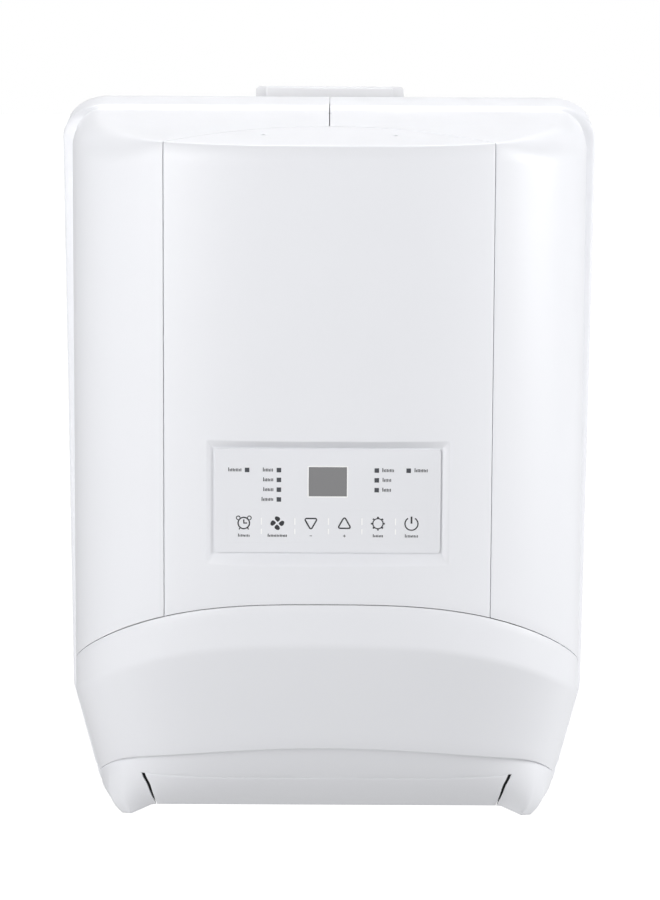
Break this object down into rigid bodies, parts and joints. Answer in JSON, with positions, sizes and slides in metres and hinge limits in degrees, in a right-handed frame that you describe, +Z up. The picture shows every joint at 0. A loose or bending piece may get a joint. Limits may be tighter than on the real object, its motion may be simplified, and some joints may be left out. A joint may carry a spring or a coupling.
{
  "type": "dehumidifier",
  "caption": "Wall-hung dehumidifier with a curved housing, front controls, a hinged air outlet flap below and a rear filter.",
  "frame": {"origin": "centre of the wall bracket's back face, level with the middle of the housing", "axes": "+X towards the viewer's right, +Z up, +Y into the wall; the front faces -Y"},
  "size_m": [0.3614, 0.231, 0.4849],
  "materials": {
    "white_shell": "fine matte moulding",
    "control_face": "satin label film",
    "display_glass": "smoked gloss",
    "lamp_lens": "clear dark",
    "white_plastic": "matte",
    "black_plastic": "matte",
    "filter_grey": "matte",
    "zinc_steel": "zinc plated",
    "bright_steel": "ground",
    "coil_fins": "thin fins",
    "copper_pipe": "drawn copper, slightly tarnished",
    "black_enamel": "semi-gloss enamel",
    "rubber": "matte",
    "circuit_board": "solder mask",
    "white_paint": "white powder coat on sheet steel"
  },
  "bodies": {
    "housing": {"front_panel": "white_shell", "left_side_shell": "white_shell", "right_side_shell": "white_shell", "outlet_hood": "white_shell", "control_overlay": "control_face", "display_window": "display_glass", "light_guide_left": "lamp_lens", "light_guide_right": "lamp_lens", "back_panel": "white_plastic", "filter_rail_left": "white_plastic", "filter_rail_right": "white_plastic", "drip_tray": "white_plastic", "drain_spigot": "white_plastic", "blower_scroll": "black_plastic", "air_duct": "black_plastic", "display_module": "black_plastic", "power_inlet": "black_plastic", "wall_bracket": "white_paint", "base_pan": "zinc_steel", "motor_bracket": "zinc_steel", "board_cover": "zinc_steel", "louver_motor": "zinc_steel", "run_capacitor": "bright_steel", "evaporator_coil": "coil_fins", "condenser_coil": "coil_fins", "suction_pipe": "copper_pipe", "discharge_pipe": "copper_pipe", "crossover_pipe": "copper_pipe", "capillary_tube": "copper_pipe", "filter_drier": "copper_pipe", "compressor": "black_enamel", "accumulator": "black_enamel", "fan_motor": "black_enamel", "wall_spacer_left": "rubber", "wall_spacer_right": "rubber", "compressor_mount_1": "rubber", "compressor_mount_2": "rubber", "compressor_mount_3": "rubber", "control_board": "circuit_board", "main_board": "circuit_board"},
    "louver": {"louver_flap": "white_shell"},
    "blower": {"blower_wheel": "white_plastic", "fan_shaft": "bright_steel"},
    "filter": {"filter_frame": "filter_grey", "filter_mesh": "filter_grey"},
    "link": {"vane_link": "black_plastic"},
    "cap": {"drain_cap": "rubber"},
    "vane_1_body": {"vane_1": "black_plastic"},
    "vane_2_body": {"vane_2": "black_plastic"},
    "vane_3_body": {"vane_3": "black_plastic"},
    "vane_4_body": {"vane_4": "black_plastic"},
    "vane_5_body": {"vane_5": "black_plastic"},
    "key_timer_body": {"key_timer": "control_face"},
    "key_fan_speed_body": {"key_fan_speed": "control_face"},
    "key_down_body": {"key_down": "control_face"},
    "key_up_body": {"key_up": "control_face"},
    "key_mode_body": {"key_mode": "control_face"},
    "key_power_body": {"key_power": "control_face"}
  },
  "joints": [
    {"name": "louver_hinge", "type": "hinge", "parent": "housing", "child": "louver", "pos_m": [0, -0.134, -0.229], "axis": [1, 0, 0], "range_deg": [0, 70]},
    {"name": "blower_spin", "type": "hinge", "parent": "housing", "child": "blower", "pos_m": [0, -0.15, 0.098], "axis": [0, 1, 0], "continuous": true},
    {"name": "filter_slide", "type": "slide", "parent": "housing", "child": "filter", "axis": [0, 0, 1], "range_m": [0, 0.15]},
    {"name": "link_slide", "type": "slide", "parent": "housing", "child": "link", "axis": [1, 0, 0], "range_m": [-0.01047, 0.01047]},
    {"name": "cap_pull", "type": "slide", "parent": "housing", "child": "cap", "axis": [0, 1, 0], "range_m": [0, 0.0115]},
    {"name": "vane_1_swing", "type": "hinge", "parent": "housing", "child": "vane_1_body", "pos_m": [-0.08, -0.1675, -0.16], "axis": [0, 1, 0], "range_deg": [-25, 25]},
    {"name": "vane_2_swing", "type": "hinge", "parent": "housing", "child": "vane_2_body", "pos_m": [-0.04, -0.1675, -0.16], "axis": [0, 1, 0], "range_deg": [-25, 25]},
    {"name": "vane_3_swing", "type": "hinge", "parent": "housing", "child": "vane_3_body", "pos_m": [0, -0.1675, -0.16], "axis": [0, 1, 0], "range_deg": [-25, 25]},
    {"name": "vane_4_swing", "type": "hinge", "parent": "housing", "child": "vane_4_body", "pos_m": [0.04, -0.1675, -0.16], "axis": [0, 1, 0], "range_deg": [-25, 25]},
    {"name": "vane_5_swing", "type": "hinge", "parent": "housing", "child": "vane_5_body", "pos_m": [0.08, -0.1675, -0.16], "axis": [0, 1, 0], "range_deg": [-25, 25]},
    {"name": "timer_press", "type": "slide", "parent": "housing", "child": "key_timer_body", "axis": [0, 1, 0], "range_m": [0, 0.0004], "stiffness_N_per_m": 2000},
    {"name": "fan_speed_press", "type": "slide", "parent": "housing", "child": "key_fan_speed_body", "axis": [0, 1, 0], "range_m": [0, 0.0004], "stiffness_N_per_m": 2000},
    {"name": "down_press", "type": "slide", "parent": "housing", "child": "key_down_body", "axis": [0, 1, 0], "range_m": [0, 0.0004], "stiffness_N_per_m": 2000},
    {"name": "up_press", "type": "slide", "parent": "housing", "child": "key_up_body", "axis": [0, 1, 0], "range_m": [0, 0.0004], "stiffness_N_per_m": 2000},
    {"name": "mode_press", "type": "slide", "parent": "housing", "child": "key_mode_body", "axis": [0, 1, 0], "range_m": [0, 0.0004], "stiffness_N_per_m": 2000},
    {"name": "power_press", "type": "slide", "parent": "housing", "child": "key_power_body", "axis": [0, 1, 0], "range_m": [0, 0.0004], "stiffness_N_per_m": 2000}
  ],
  "couplings": [
    {"joint": "vane_1_swing", "follows": "link_slide", "rad_per_m": 41.667},
    {"joint": "vane_2_swing", "follows": "link_slide", "rad_per_m": 41.667},
    {"joint": "vane_3_swing", "follows": "link_slide", "rad_per_m": 41.667},
    {"joint": "vane_4_swing", "follows": "link_slide", "rad_per_m": 41.667},
    {"joint": "vane_5_swing", "follows": "link_slide", "rad_per_m": 41.667}
  ]
}
